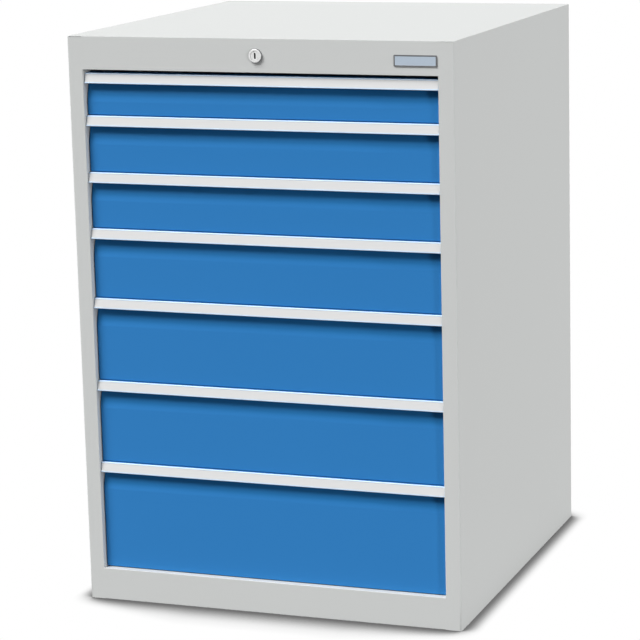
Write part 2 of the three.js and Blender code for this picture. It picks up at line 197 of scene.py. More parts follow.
class FinishColours(bpy.types.PropertyGroup):
    carcass: colour((0.560, 0.572, 0.566), "Carcass", "Light grey powder coat")
    front: colour((0.0280, 0.1880, 0.4780), "Fronts", "Blue powder coat")
    # Painted shade: the darker blue painted into the fronts' finger recess
    handled: colour((0.0160, 0.1460, 0.3740), "Finger recess", "The same coat where fingers have handled it")
    strip: colour((0.515, 0.640, 0.780), "Strips", "Anodised aluminium")
    label: colour((0.608, 0.612, 0.614), "Label strips", "Plain pale insert")
    inside: colour((0.500, 0.512, 0.508), "Drawer boxes", "Grey powder coat inside")
    zinc: colour((0.560, 0.575, 0.590), "Rails", "Bright zinc plating")
    nickel: colour((0.700, 0.705, 0.700), "Lock", "Satin nickel")
    # Painted shade on the rosette's outer rim
    rim: colour((0.100, 0.105, 0.110), "Rosette rim", "The rosette's rim, which darkens towards the fascia")
    # Painted shade inside the key slot
    slot: colour((0.008, 0.008, 0.009), "Key slot", "Inside of the key slot")
    plate: colour((0.415, 0.490, 0.575), "Plate face", "Bare name plate")
    border: colour((0.125, 0.130, 0.136), "Plate border", "Dark border of the name plate")


class StudioSettings(bpy.types.PropertyGroup):
    focal: amount(141.866, "Focal length", "Lens of the camera in millimetres")
    sensor: amount(36, "Sensor", "Width of the camera's sensor in millimetres")
    shift_x: amount(-0.12, "Shift X", "Sideways shift of the camera")
    shift_y: amount(-0.03, "Shift Y", "Upward shift of the camera")
    sight: length(60, "Sight", "Farthest distance that the camera sees")
    eye: triple((1.61052, -4.33111, 1.42475), "Eye", "Place of the camera", "LENGTH")
    aim: triple((0.11889, 0.0, 0.49963), "Aim", "Point that the camera looks at", "LENGTH")
    roll: degrees(1.0781, "Roll", "Turn of the camera about its view")
    room: amount(0.04, "Room light", "Strength of the even light")
    ground: amount(0.24, "Ground", "Strength of the light from the floor")
    key_lamp: triple((-0.62, -0.70, 1.16), "Key lamp", "Light from the upper left on the left, front and top")
    fill_lamp: triple((0.24, -0.15, 0.025), "Fill lamp", "Low light from the right on the right and front")
    side_lamp: triple((0.53, 0.0, 0.04), "Side lamp", "Low light on the right side")
    rear_lamp: triple((-0.48, 0.48, 0.05), "Rear lamp", "Low light on the back and the left side")
    softness: degrees(34, "Softness", "Apparent size of the key lamp")
    crispness: degrees(8, "Crispness", "Apparent size of the low lamps")
    floor: length(24.0, "Floor", "Side of the floor")
    floor_gap: length(0.0004, "Floor gap", "Distance of the floor below the cabinet's feet")
    shadow_front: length(0.104, "Front shadow", "Reach of the contact shadow before the front")
    shadow_side: length(0.032, "Side shadow", "Reach of the contact shadow beside the cabinet")
    shadow_start: length(0.15, "Shadow start", "Distance from the middle where the shadow starts to shrink")
    shadow_fade: length(0.25, "Shadow fade", "Distance over which it shrinks")


GROUPS = {"cabinet_carcass": CarcassSizes, "cabinet_back": BackSizes, "cabinet_front": FrontSizes,
          "cabinet_strip": StripSizes, "cabinet_lock": LockSizes, "cabinet_plate": PlateSizes,
          "cabinet_finish": FinishColours, "cabinet_studio": StudioSettings}

# The floor's grey for each share of open sky that the contact shadow leaves
SHADOW_GREYS = [(0.53, 0.16), (0.60, 0.215), (0.68, 0.345), (0.765, 0.56), (0.84, 0.75), (0.91, 0.91),
                (0.97, 0.968), (1.0, 1.0)]
WHITE = (1.0, 1.0, 1.0, 1.0)


def settings(name):
    return getattr(bpy.context.scene, "cabinet_" + name)


# Shader maths

def plain(operation):
    """A method that hangs the operation's Math node on a wire."""
    return lambda wire, *others: wire.maths(operation, *others)


def mirrored(operation):
    """The same for a number that stands before the wire."""
    return lambda wire, first: wire.maths(operation, first=first)


class Wire:
    """A value in a material, on which arithmetic adds Math nodes."""

    def __init__(self, recipe, socket):
        self.recipe = recipe
        self.socket = socket

    def maths(self, operation, *others, first=None):
        values = ([first] if first is not None else []) + [self] + list(others)
        return self.recipe.node("ShaderNodeMath", dict(enumerate(values)), operation=operation)

    __add__, __radd__ = plain("ADD"), mirrored("ADD")
    __sub__, __rsub__ = plain("SUBTRACT"), mirrored("SUBTRACT")
    __mul__, __rmul__ = plain("MULTIPLY"), mirrored("MULTIPLY")
    __truediv__, __rtruediv__ = plain("DIVIDE"), mirrored("DIVIDE")
    above, below = plain("GREATER_THAN"), plain("LESS_THAN")
    least, most = plain("MINIMUM"), plain("MAXIMUM")
    power, size = plain("POWER"), plain("ABSOLUTE")


class Recipe:
    """A material or a world while it is written."""

    def __init__(self, name, world=False):
        self.owner = (bpy.data.worlds if world else bpy.data.materials).new(name)
        self.owner.use_nodes = True
        self.tree = self.owner.node_tree
        self.tree.nodes.clear()
        self.coordinates = None

    def socket(self, sockets, key):
        if isinstance(key, int):
            return sockets[key]
        return next(socket for socket in sockets if key in (socket.identifier, socket.name))

    def node(self, kind, values=None, output=0, stops=None, **choices):
        node = self.tree.nodes.new(kind)
        for key, choice in choices.items():
            setattr(node, key, choice)
        if stops:
            ramp = node.color_ramp
            ramp.elements.remove(ramp.elements[1])
            ramp.elements[0].position = stops[0][0]
            for place, _ in stops[1:]:
                ramp.elements.new(place)
            for element, (_, shade) in zip(ramp.elements, stops):
                element.color = (*shade, 1.0)
        for key, value in (values or {}).items():
            socket = self.socket(node.inputs, key)
            if isinstance(value, Wire):
                self.tree.links.new(value.socket, socket)
            else:
                socket.default_value = value
        return Wire(self, self.socket(node.outputs, output))

    def place(self):
        """The Object coordinates, from one node for each material."""
        if self.coordinates is None:
            self.coordinates = self.node("ShaderNodeTexCoord", output="Object")
        return self.coordinates

    def split(self, vector):
        node = self.node("ShaderNodeSeparateXYZ", {0: vector}).socket.node
        return [Wire(self, node.outputs[axis]) for axis in range(3)]

    def noise(self, scale, detail=2.0, roughness=0.5, vector=None):
        return self.node("ShaderNodeTexNoise", {"Vector": vector or self.place(), "Scale": scale,
                                                "Detail": detail, "Roughness": roughness})

    def grain(self, stretch, detail, roughness=0.5):
        """Noise that is drawn out along the axes with the small numbers."""
        drawn = self.node("ShaderNodeMapping", {"Vector": self.place(), "Scale": stretch})
        return self.noise(1.0, detail, roughness, drawn)

    def blend(self, low, high, factor):
        low, high = [value if isinstance(value, Wire) else (*value, 1.0) for value in (low, high)]
        return self.node("ShaderNodeMix", {"Factor_Float": factor, "A_Color": low, "B_Color": high},
                         output="Result_Color", data_type="RGBA", clamp_factor=True)

    def bump(self, height, strength, distance):
        return self.node("ShaderNodeBump", {"Height": height, "Strength": strength, "Distance": distance},
                         output="Normal")

    def surface(self, base, rough, skin, metallic=0.0, level=0.5):
        shader = self.node("ShaderNodeBsdfPrincipled", {
            "Base Color": base, "Roughness": rough, "Normal": skin, "Metallic": metallic,
            "Specular IOR Level": level})
        return self.show(shader, "ShaderNodeOutputMaterial")

    def seen(self):
        """One on rays that the camera sees, mirrored or through a clear surface too, and else nought."""
        camera, shine, through = [self.node("ShaderNodeLightPath", output=ray) for ray in
                                  ("Is Camera Ray", "Is Glossy Ray", "Is Transmission Ray")]
        return camera.most(shine).most(through)

    def show(self, shader, kind):
        node = self.tree.nodes.new(kind)
        self.tree.links.new(shader.socket, node.inputs["Surface"])
        return self.owner


def tint(shade, share):
    return tuple(min(1.0, part * share) for part in shade)


# Finishes

def powder_coat(name, shade, rough, level=0.3, recess=None):
    """A fine powder coat. A recess is the plane where a painted shade starts, the depth it darkens over and
    its shade.
    """
    recipe = Recipe(name)
    cloud = recipe.noise(scale=2.6, detail=3.0, roughness=0.55)
    speck = recipe.noise(scale=420.0, detail=2.0, roughness=0.6)
    peel = recipe.noise(scale=900.0, detail=2.0, roughness=0.55)
    base = recipe.blend(tint(shade, 0.985), tint(shade, 1.015), cloud)
    base = recipe.blend(base, tint(shade, 0.95), (speck - 0.62) * 1.6)
    # Painted shade: the coat darkens into the finger recess
    if recess:
        start, depth, handled = recess
        share = ((recipe.split(recipe.place())[1] - start) / depth).most(0.0).least(1.0)
        base = recipe.blend(base, handled, share)
    rough = rough + (cloud - 0.5) * 0.08 + (peel - 0.5) * 0.10
    skin = recipe.bump(peel, strength=0.10, distance=0.00008)
    return recipe.surface(base, rough, skin, level=level)


def drawn_aluminium(name, shade):
    recipe = Recipe(name)
    streak = recipe.grain((2.2, 520.0, 520.0), detail=4.0, roughness=0.65)
    hair = recipe.grain((9.0, 2600.0, 2600.0), detail=3.0, roughness=0.6)
    haze = recipe.noise(scale=5.0, detail=2.0)
    base = recipe.blend(tint(shade, 0.94), tint(shade, 1.05), streak)
    rough = 0.42 + (hair - 0.5) * 0.16 + (haze - 0.5) * 0.06
    skin = recipe.bump(hair * 0.6 + streak * 0.4, strength=0.12, distance=0.00006)
    return recipe.surface(base, rough, skin, metallic=0.2, level=0.4)


def label_insert(name, shade):
    recipe = Recipe(name)
    streak = recipe.grain((2.6, 420.0, 420.0), detail=4.0, roughness=0.7)
    warm = recipe.grain((3.4, 120.0, 120.0), detail=2.0, roughness=0.5)
    base = recipe.blend(tint(shade, 0.955), tint(shade, 1.035), streak)
    base = recipe.blend(base, (shade[0] * 1.03, shade[1] * 0.99, shade[2] * 0.95), (warm - 0.5) * 1.2)
    rough = 0.40 + (streak - 0.5) * 0.12
    skin = recipe.bump(streak, strength=0.06, distance=0.00005)
    return recipe.surface(base, rough, skin, level=0.35)


def zinc_plate(name, shade):
    recipe = Recipe(name)
    cell = recipe.node("ShaderNodeTexVoronoi", {"Vector": recipe.place(), "Scale": 170.0}, output="Color")
    flake = recipe.split(cell)[0]
    cloud = recipe.noise(scale=14.0, detail=3.0)
    roll = recipe.grain((600.0, 6.0, 600.0), detail=3.0)
    base = recipe.blend(tint(shade, 0.90), tint(shade, 1.08), flake * 0.5 + cloud * 0.5)
    rough = 0.30 + flake * 0.10 + (cloud - 0.5) * 0.14
    skin = recipe.bump(roll * 0.6 + flake * 0.4, strength=0.10, distance=0.00006)
    return recipe.surface(base, rough, skin, metallic=0.85)


TURNING_MARKS = 9000.0
# How sharply the painted shade on the rosette's rim sets in
RIM_SHADE_SHARPNESS = 4000.0


def turned_nickel(name, shades, centre, rim, slot):
    """Satin nickel, turned about the lock's axis, with a painted shade on the rosette's rim and inside the
    key slot.
    """
    shade, rim_painted_shade, slot_painted_shade = shades
    recipe = Recipe(name)
    x, y, z = recipe.split(recipe.place())
    across, up = x - centre[0], z - centre[2]
    radius = (across * across + up * up).power(0.5)
    ring = (radius * TURNING_MARKS).maths("SINE")
    scuff = recipe.noise(scale=240.0, detail=3.0, roughness=0.6)
    # Painted shade on the rosette's outer rim
    side = (radius - rim) * RIM_SHADE_SHARPNESS
    base = recipe.blend(tint(shade, 0.95), tint(shade, 1.05), scuff)
    base = recipe.blend(base, rim_painted_shade, side)
    # Painted shade inside the key slot
    inside = across.size().below(slot.x) * up.size().below(slot.z) * y.above(slot.y)
    base = recipe.blend(base, slot_painted_shade, inside)
    rough = 0.40 + (scuff - 0.5) * 0.14 + ring * 0.02 + inside * 0.4
    skin = recipe.bump(ring * 0.5 + scuff * 0.5, strength=0.05, distance=0.00005)
    return recipe.surface(base, rough, skin, metallic=0.4, level=0.3)


def bare_plate(name, shade):
    recipe = Recipe(name)
    grain = recipe.grain((14.0, 900.0, 900.0), detail=3.0, roughness=0.6)
    cloud = recipe.noise(scale=60.0, detail=2.0)
    base = recipe.blend(tint(shade, 0.93), tint(shade, 1.06), grain * 0.6 + cloud * 0.4)
    rough = 0.34 + (grain - 0.5) * 0.14
    skin = recipe.bump(grain, strength=0.08, distance=0.00005)
    return recipe.surface(base, rough, skin, metallic=0.25)


def dark_enamel(name, shade):
    recipe = Recipe(name)
    cloud = recipe.noise(scale=90.0, detail=3.0)
    base = recipe.blend(tint(shade, 0.85), tint(shade, 1.25), cloud)
    rough = 0.38 + (cloud - 0.5) * 0.16
    skin = recipe.bump(cloud, strength=0.05, distance=0.00005)
    return recipe.surface(base, rough, skin, level=0.4)


def finish(key):
    """The material of that name, made the first time it is asked for."""
    name = "finish_" + key
    if name in bpy.data.materials:
        return bpy.data.materials[name]
    colours = settings("finish")
    shade = getattr(colours, key)
    if key == "carcass":
        return powder_coat(name, shade, 0.52, 0.17)
    if key == "front":
        # The fronts get a painted shade in the finger recess
        return powder_coat(name, shade, 0.5, 0.1, (front_face(), settings("front").handled, colours.handled))
    if key == "inside":
        return powder_coat(name, shade, 0.5)
    if key == "nickel":
        low, high = corners("lock_rosette")
        lock = settings("lock")
        # Where the painted shade inside the key slot ends, and where the rim's painted shade starts
        slot = Vector((lock.slot_width / 2 + NEAR, low.y + lock.sink + NEAR, lock.slot_height / 2 + NEAR))
        rim = (high.x - low.x) / 2 - lock.chamfer / 2
        return turned_nickel(name, (shade, colours.rim, colours.slot), middle_of(low, high), rim, slot)
    makers = {"strip": drawn_aluminium, "label": label_insert, "zinc": zinc_plate, "plate": bare_plate,
              "border": dark_enamel}
    return makers[key](name, shade)


# Modelling by hand

AXES = {"X": (1, 2, 0), "Y": (0, 2, 1), "Z": (0, 1, 2)}
NEAR = 0.00002
SHARP = math.radians(50)


def corners(node):
    low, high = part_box(node)
    return Vector(low), Vector(high)


def middle_of(low, high):
    return (low + high) / 2


def front_face():
    """The place of the fronts' faces on Y."""
    return corners("right_side_panel")[0].y + settings("front").recess


def at(axis, pair, along):
    spot = [0.0, 0.0, 0.0]
    first, second, third = AXES[axis]
    spot[first], spot[second], spot[third] = pair[0], pair[1], along
    return Vector(spot)


def clear():
    if bpy.context.object and bpy.context.object.mode != "OBJECT":
        bpy.ops.object.mode_set(mode="OBJECT")
    bpy.ops.object.select_all(action="DESELECT")


def settle(piece, name):
    """Names the new piece and puts its place into its mesh."""
    piece.name = name
    piece.data.name = name
    bpy.ops.object.transform_apply(location=True, rotation=True, scale=True)
    return piece


def choose(piece):
    clear()
    piece.select_set(True)
    bpy.context.view_layer.objects.active = piece


def edit(piece):
    choose(piece)
    bpy.ops.object.mode_set(mode="EDIT")


def leave():
    bpy.ops.object.mode_set(mode="OBJECT")


def pick(piece, kind, test):
    """In edit mode, selects only the faces, edges or corners that pass the test."""
    bpy.ops.mesh.select_all(action="DESELECT")
    bpy.ops.mesh.select_mode(type=kind)
    mesh = bmesh.from_edit_mesh(piece.data)
    mesh.normal_update()
    items = {"FACE": mesh.faces, "EDGE": mesh.edges, "VERT": mesh.verts}[kind]
    chosen = [item for item in items if test(item)]
    for item in chosen:
        item.select_set(True)
    mesh.select_flush_mode()
    bmesh.update_edit_mesh(piece.data)
    if not chosen:
        raise RuntimeError(piece.name + ": nothing to select")


def bevel(width, steps, clamp=False):
    bpy.ops.mesh.bevel(offset=width, segments=steps, affect="EDGES", clamp_overlap=clamp)


def inset(width, depth=0.0, **choices):
    bpy.ops.mesh.inset(thickness=width, depth=depth, **choices)


def pull(shift):
    bpy.ops.mesh.extrude_region_move(TRANSFORM_OT_translate={"value": shift})


def looks_front(face):
    return face.normal.y < -0.9


def looks_back(face):
    return face.normal.y > 0.9


def middle(item):
    return sum((vert.co for vert in item.verts), Vector()) / len(item.verts)


def runs_along(edge, axis):
    third = AXES[axis][2]
    step = edge.verts[1].co - edge.verts[0].co
    return abs(step[third]) > 0.999 * step.length


def lies_at(edge, axis, place):
    """Whether both ends of an edge lie in the plane at that place on the axis."""
    index = "XYZ".index(axis)
    return all(abs(vert.co[index] - place) < NEAR for vert in edge.verts)


def passes(edge, axis, pair):
    """Whether an edge along the axis goes through a point across it."""
    spot = middle(edge)
    first, second, _ = AXES[axis]
    return runs_along(edge, axis) and abs(spot[first] - pair[0]) < NEAR and abs(spot[second] - pair[1]) < NEAR


def add_block(name, low, high):
    clear()
    low, high = Vector(low), Vector(high)
    bpy.ops.mesh.primitive_cube_add(size=1.0, location=middle_of(low, high))
    piece = bpy.context.object
    piece.scale = high - low
    return settle(piece, name)


def add_disc(name, centre, radius, front, back, steps):
    """A round block along Y."""
    clear()
    place = (centre[0], (front + back) / 2, centre[2])
    bpy.ops.mesh.primitive_cylinder_add(vertices=steps, radius=radius, depth=back - front, location=place,
                                        rotation=(math.pi / 2, 0, 0))
    return settle(bpy.context.object, name)


def fold_sheet(name, axis, line, low, high, closed=False):
    """A strip that follows the line: one flange is laid, and each next one is pulled out of its edge."""
    clear()
    first, second = [Vector(pair) for pair in line[:2]]
    step = at(axis, second - first, 0)
    centre = at(axis, (first + second) / 2, (low + high) / 2)
    along = at(axis, (0, 0), 1)
    turn = Matrix((along, step.normalized(), along.cross(step).normalized())).transposed()
    bpy.ops.mesh.primitive_plane_add(size=1.0, location=centre, rotation=turn.to_euler())
    piece = bpy.context.object
    piece.scale = (high - low, step.length, 1)
    settle(piece, name)
    edit(piece)
    for start, end in zip(line[1:], line[2:]):
        pick(piece, "EDGE", lambda edge: passes(edge, axis, start))
        pull(at(axis, Vector(end) - Vector(start), 0))
    if closed:
        bpy.ops.mesh.select_all(action="SELECT")
        bpy.ops.mesh.remove_doubles(threshold=NEAR)
    return piece


def cap_ends(piece, axis, places, line=None):
    """Closes the strip's ends; an open line is first closed by an edge between its two ends."""
    for place in places:
        if line:
            ends = [at(axis, pair, place) for pair in (line[0], line[-1])]
            pick(piece, "VERT", lambda vert: min((vert.co - end).length for end in ends) < NEAR)
            bpy.ops.mesh.edge_face_add()
        pick(piece, "EDGE", lambda edge: lies_at(edge, axis, place))
        bpy.ops.mesh.edge_face_add()


def crease(piece, axis, line, radius, steps=3):
    """Rounds the folds that run along the axis through the line's points."""
    pick(piece, "EDGE", lambda edge: any(passes(edge, axis, pair) for pair in line))
    bevel(radius, steps, clamp=True)


def face_out(piece, inner):
    """Turns the faces so that the largest one looks away from a point inside."""
    mesh = bmesh.from_edit_mesh(piece.data)
    mesh.normal_update()
    largest = max(mesh.faces, key=lambda face: face.calc_area())
    inwards = largest.normal.dot(Vector(inner) - largest.calc_center_median()) > 0
    bpy.ops.mesh.select_all(action="SELECT")
    if inwards:
        bpy.ops.mesh.flip_normals()


def recalculate():
    bpy.ops.mesh.select_all(action="SELECT")
    bpy.ops.mesh.normals_make_consistent(inside=False)


def apply_all(piece):
    choose(piece)
    for modifier in list(piece.modifiers):
        bpy.ops.object.modifier_apply(modifier=modifier.name)


def modify(piece, name, kind, **choices):
    modifier = piece.modifiers.new(name, kind)
    for key, choice in choices.items():
        setattr(modifier, key, choice)


def thicken(piece, sheet):
    modify(piece, "thickness", "SOLIDIFY", thickness=sheet, offset=-1.0, use_even_offset=True,
           use_quality_normals=True)


def ease(piece, width, test, steps=2):
    """Rounds the sharp edges that pass the test."""
    apply_all(piece)
    edit(piece)
    pick(piece, "EDGE", lambda edge: len(edge.link_faces) == 2 and edge.calc_face_angle() > SHARP
         and test(edge))
    bevel(width, steps, clamp=True)
    leave()


def soften(piece, width, angle):
    modify(piece, "edges", "BEVEL", width=width, segments=2, limit_method="ANGLE",
           angle_limit=math.radians(angle), miter_outer="MITER_ARC")


def combine(piece, tool, operation):
    """Joins the tool's shape to the piece or cuts it out of it, and throws the tool away."""
    modify(piece, "combine", "BOOLEAN", operation=operation, solver="EXACT", object=tool)
    apply_all(piece)
    bpy.data.objects.remove(tool, do_unlink=True)


def repeat(piece, name, shift):
    """A copy with its own mesh, moved and with its place put into the mesh."""
    twin = piece.copy()
    twin.data = piece.data.copy()
    bpy.context.scene.collection.objects.link(twin)
    choose(twin)
    bpy.ops.transform.translate(value=shift)
    return settle(twin, name)


def merge(pieces, name):
    clear()
    for piece in pieces:
        piece.select_set(True)
    bpy.context.view_layer.objects.active = pieces[0]
    bpy.ops.object.join()
    pieces[0].name = name
    pieces[0].data.name = name
    return pieces[0]


def coat(piece, key):
    piece.data.materials.clear()
    piece.data.materials.append(finish(key))


def complete(piece, body, key, slot, nodes=(), angle=32.0, sheet=False):
    """Applies the modifiers, evens out the shading, and hangs the piece on its body."""
    apply_all(piece)
    bpy.ops.object.shade_smooth_by_angle(angle=math.radians(angle))
    if sheet:
        edit(piece)
        pick(piece, "FACE", lambda face: max(map(abs, face.normal)) > 0.99999)
        bpy.ops.mesh.faces_shade_flat()
        leave()
    else:
        modify(piece, "shading", "WEIGHTED_NORMAL", keep_sharp=True, weight=80)
        bpy.ops.object.modifier_apply(modifier="shading")
    if key:
        coat(piece, key)
    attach(piece, body)
    if nodes:
        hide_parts(*nodes)
    clear()


def complete_carcass(piece, node):
    complete(piece, "cabinet", "carcass", "carcass_grey", [node], sheet=True)


def dress(node, key):
    """Gives a CAD node its finish."""
    coat(frame["nodes"][node], key)


# Carcass pieces

def make_side_panel(side):
    sizes = settings("carcass")
    name = "left_side_panel" if side < 0 else "right_side_panel"
    low, high = corners(name)
    inner, outer = sorted((low.x, high.x), key=abs)
    front, rear = low.y, high.y
    line = [(outer - side * sizes.back_flange, rear), (outer, rear), (outer, front), (inner, front),
            (inner, front + sizes.stile_return)]
    crown = corners("top_panel")[1].z - sizes.sheet
    piece = fold_sheet(name + "_shell", "Z", line, low.z, crown)
    crease(piece, "Z", line[1:3], sizes.bend, 8)
    for place in (corners("base_panel")[1].z, corners("top_panel")[0].z):
        pick(piece, "FACE", lambda face: True)
        bpy.ops.mesh.bisect(plane_co=(0, 0, place), plane_no=(0, 0, 1))
    pick(piece, "EDGE", lambda edge: passes(edge, "Z", line[3]) and edge.calc_length() > crown / 2)
    bevel(sizes.crease, 3, clamp=True)
    face_out(piece, (0, 0, 0.5))
    leave()
    thicken(piece, sizes.sheet)
    ease(piece, sizes.raw_edge, lambda edge: not lies_at(edge, "Z", crown) and not runs_along(edge, "Z"))
    complete_carcass(piece, name)


def make_top_panel():
    sizes = settings("carcass")
    low, high = corners("top_panel")
    side = corners("right_side_panel")[0].x
    line = [(low.y + sizes.fascia_return, low.z), (low.y, low.z), (low.y, high.z), (high.y, high.z),
            (high.y, high.z - sizes.back_flange)]
    piece = fold_sheet("top_panel_shell", "X", line, -side, side)
    for sign in (-1, 1):
        pick(piece, "EDGE", lambda edge: runs_along(edge, "Y") and abs(middle(edge).z - high.z) < NEAR
             and sign * middle(edge).x > side - NEAR)
        pull((sign * (high.x - side), 0, 0))
        pick(piece, "VERT", lambda vert: abs(vert.co.x - sign * high.x) < NEAR)
        bpy.ops.mesh.bevel(offset=sizes.bend, segments=6, affect="VERTICES")
    face_out(piece, (0, 0, 0.5))
    leave()
    thicken(piece, sizes.sheet)
    ease(piece, sizes.crease * 0.6, lambda edge: middle(edge).z > high.z - NEAR
         or passes(edge, "X", line[1]) or passes(edge, "X", line[2]), 3)
    lock = settings("lock")
    centre = middle_of(*corners("lock_rosette"))
    reach = 0.01
    bore = add_disc("bore", centre, lock.bore + lock.wall + lock.play, low.y - reach, low.y + reach, 64)
    combine(piece, bore, "DIFFERENCE")
    complete_carcass(piece, "top_panel")


def make_base():
    sizes = settings("carcass")
    low, high = corners("base_panel")
    side = corners("right_side_panel")[0].x
    line = [(low.y + sizes.foot_flange, low.z), (low.y, low.z), (low.y, high.z), (high.y, high.z),
            (high.y, low.z), (high.y - sizes.foot_flange, low.z)]
    deck = fold_sheet("base_panel_shell", "X", line, -side, side)
    crease(deck, "X", line[1:5], sizes.crease)
    face_out(deck, (0, 0, -0.5))
    leave()
    parts = [deck]
    for sign in (-1, 1):
        reach, start = sign * high.x, sign * (side - sizes.deck_flange)
        wing_line = [(sign * side, high.z), (reach, high.z), (reach, low.z), (start, low.z)]
        wing = fold_sheet("wing", "Y", wing_line, low.y + sizes.stile_return + sizes.play,
                          high.y - sizes.bend - sizes.play)
        crease(wing, "Y", wing_line[1:3], sizes.crease)
        face_out(wing, (0, 0, high.z / 2))
        leave()
        parts.append(wing)
    piece = merge(parts, "base_panel_shell")
    thicken(piece, sizes.sheet)
    ease(piece, sizes.raw_edge, lambda edge: runs_along(edge, "X")
         and middle(edge).y > low.y + sizes.foot_flange / 2)
    complete_carcass(piece, "base_panel")


def make_back_panel():
    sizes = settings("back")
    low, high = corners("back_panel")
    piece = add_block("back_panel_sheet", low, high)
    edit(piece)
    pick(piece, "FACE", looks_back)
    inset(sizes.margin)
    inset(sizes.slope, -sizes.press)
    faces = bmesh.from_edit_mesh(piece.data).faces
    field = max(filter(looks_back, faces), key=lambda face: face.calc_area())
    field_low = min(vert.co.z for vert in field.verts)
    field_high = max(vert.co.z for vert in field.verts)
    # Between these two areas lie the faces of the ribs
    least, most = 0.01, 0.02
    ribs = [field_low + (field_high - field_low) * share for share in (1 / 3, 2 / 3)]
    for rib in ribs:
        for edge in (rib - sizes.rib / 2, rib + sizes.rib / 2):
            pick(piece, "FACE", lambda face: looks_back(face) and face.calc_area() > most)
            bpy.ops.mesh.bisect(plane_co=(0, 0, edge), plane_no=(0, 0, 1))
    pick(piece, "FACE", lambda face: looks_back(face) and face.calc_area() > least
         and min(abs(middle(face).z - rib) for rib in ribs) < sizes.rib / 12)
    inset(sizes.rib_slope, sizes.press, use_individual=True)
    leave()
    soften(piece, sizes.burr, 60)
    complete_carcass(piece, "back_panel")


def make_rivets():
    """Flat rivet heads along the back panel's edges."""
    sizes = settings("back")
    low, high = corners("back_panel")
    first = add_disc("rivet", (low.x + sizes.rivet_side, 0, low.z + sizes.rivet_end), sizes.rivet,
                     high.y - sizes.burr, high.y + sizes.rivet_rise, 20)
    edit(first)
    pick(first, "FACE", looks_back)
    bevel(sizes.rivet_round, 3)
    leave()
    heads = [first]
    width = high.x - low.x - 2 * sizes.rivet_side
    pitch = (high.z - low.z - 2 * sizes.rivet_end) / (sizes.rivets - 1)
    for x in (0, width):
        for row in range(sizes.rivets):
            if x or row:
                heads.append(repeat(first, "rivet", (x, 0, pitch * row)))
    piece = merge(heads, "back_rivets")
    complete(piece, "cabinet", "zinc", "zinc_steel")


# Drawer pieces

def make_alike(suffix, name, model, key, slot, replaced=True, **look):
    """Models one piece for each group of drawers of one height there, and copies it for the others."""
    groups = {}
    for drawer in DRAWERS:
        low, high = corners(drawer + suffix)
        groups.setdefault(round(high.z - low.z, 4), []).append((drawer, low.z))
    for group in groups.values():
        first, start = group[0]
        pattern = model(first + name, *corners(first + suffix))
        apply_all(pattern)
        pieces = [pattern]
        for drawer, low in group[1:]:
            pieces.append(repeat(pattern, drawer + name, (0, 0, low - start)))
        for (drawer, _), piece in zip(group, pieces):
            complete(piece, drawer, key, slot, [drawer + suffix] if replaced else (), **look)


def fold_front(name, low, high):
    sizes = settings("front")
    face = front_face()
    pocket = face + sizes.dip
    curve_low = high.z - sizes.curve_low
    curve = []
    for step in range(sizes.steps + 1):
        share = step / sizes.steps
        curve.append((face + sizes.dip * share ** sizes.power, curve_low + sizes.run * share))
    line = [(high.y, low.z + sizes.foot_flange), (high.y, low.z), (face, low.z), *curve,
            (pocket, high.z - sizes.lip), (low.y, high.z - sizes.lip), (low.y, high.z), (high.y, high.z),
            (high.y, high.z - sizes.top_flange)]
    piece = fold_sheet(name, "X", line, low.x, high.x)
    cap_ends(piece, "X", (low.x, high.x), line)
    recalculate()
    face_out(piece, (0, high.y + 0.1, middle_of(low, high).z))
    crease(piece, "X", [line[1], line[2], line[-3], line[-2]], sizes.crease)
    # The flanges' rear edges stay sharp
    flanges = high.y - 0.002
    pick(piece, "EDGE", lambda edge: not runs_along(edge, "X") and len(edge.link_faces) == 2
         and abs(abs(middle(edge).x) - high.x) < NEAR and middle(edge).y < flanges)
    bevel(sizes.crease * 0.7, 3, clamp=True)
    leave()
    thicken(piece, sizes.sheet)
    return piece


def strip_frame(low, high):
    """The strip's own frame: a function from (up the strip, into the cabinet) to a point across X."""
    sizes = settings("strip")
    reach = math.hypot(sizes.rise, sizes.lean)
    base = high.z - sizes.rise

    def spot(up, into):
        return (low.y + (up * sizes.lean + into * sizes.rise) / reach,
                base + (up * sizes.rise - into * sizes.lean) / reach)

    return spot, reach


def draw_strip(name, low, high):
    sizes = settings("strip")
    spot, reach = strip_frame(low, high)
    lip = settings("front").lip
    edge, rim, dip, plate, rise = sizes.edge, sizes.rim, sizes.dip, sizes.plate, sizes.bead_rise
    seat, ledge, back = low.y + sizes.lean + plate, high.z + sizes.drop - lip, plate + sizes.bead
    line = [spot(0, edge), spot(edge, 0), spot(rim, 0), spot(rim, dip), spot(reach - rim, dip),
            spot(reach - rim, 0), spot(reach - edge, 0), (low.y + sizes.lean + edge, high.z), (seat, high.z),
            (seat, ledge), spot(reach - lip, plate), spot(rise, plate), spot(rise - edge, back),
            spot(edge, back), spot(0, back - edge)]
    piece = fold_sheet(name, "X", [*line, line[0]], low.x, high.x, closed=True)
    cap_ends(piece, "X", (low.x, high.x))
    recalculate()
    leave()
    soften(piece, sizes.burr, 24)
    return piece


def cut_label(name, low, high):
    """The plain insert in the strip's channel."""
    sizes = settings("strip")
    spot, reach = strip_frame(low, high)
    start, end = sizes.rim + sizes.play, reach - sizes.rim - sizes.play
    front, back = sizes.dip - sizes.label, sizes.dip - sizes.play / 2
    line = [spot(start, front), spot(end, front), spot(end, back), spot(start, back)]
    ends = (low.x + sizes.dip, high.x - sizes.dip)
    piece = fold_sheet(name, "X", [*line, line[0]], *ends, closed=True)
    cap_ends(piece, "X", ends)
    recalculate()
    leave()
    soften(piece, sizes.burr / 2, 40)
    return piece


# Lock and plate

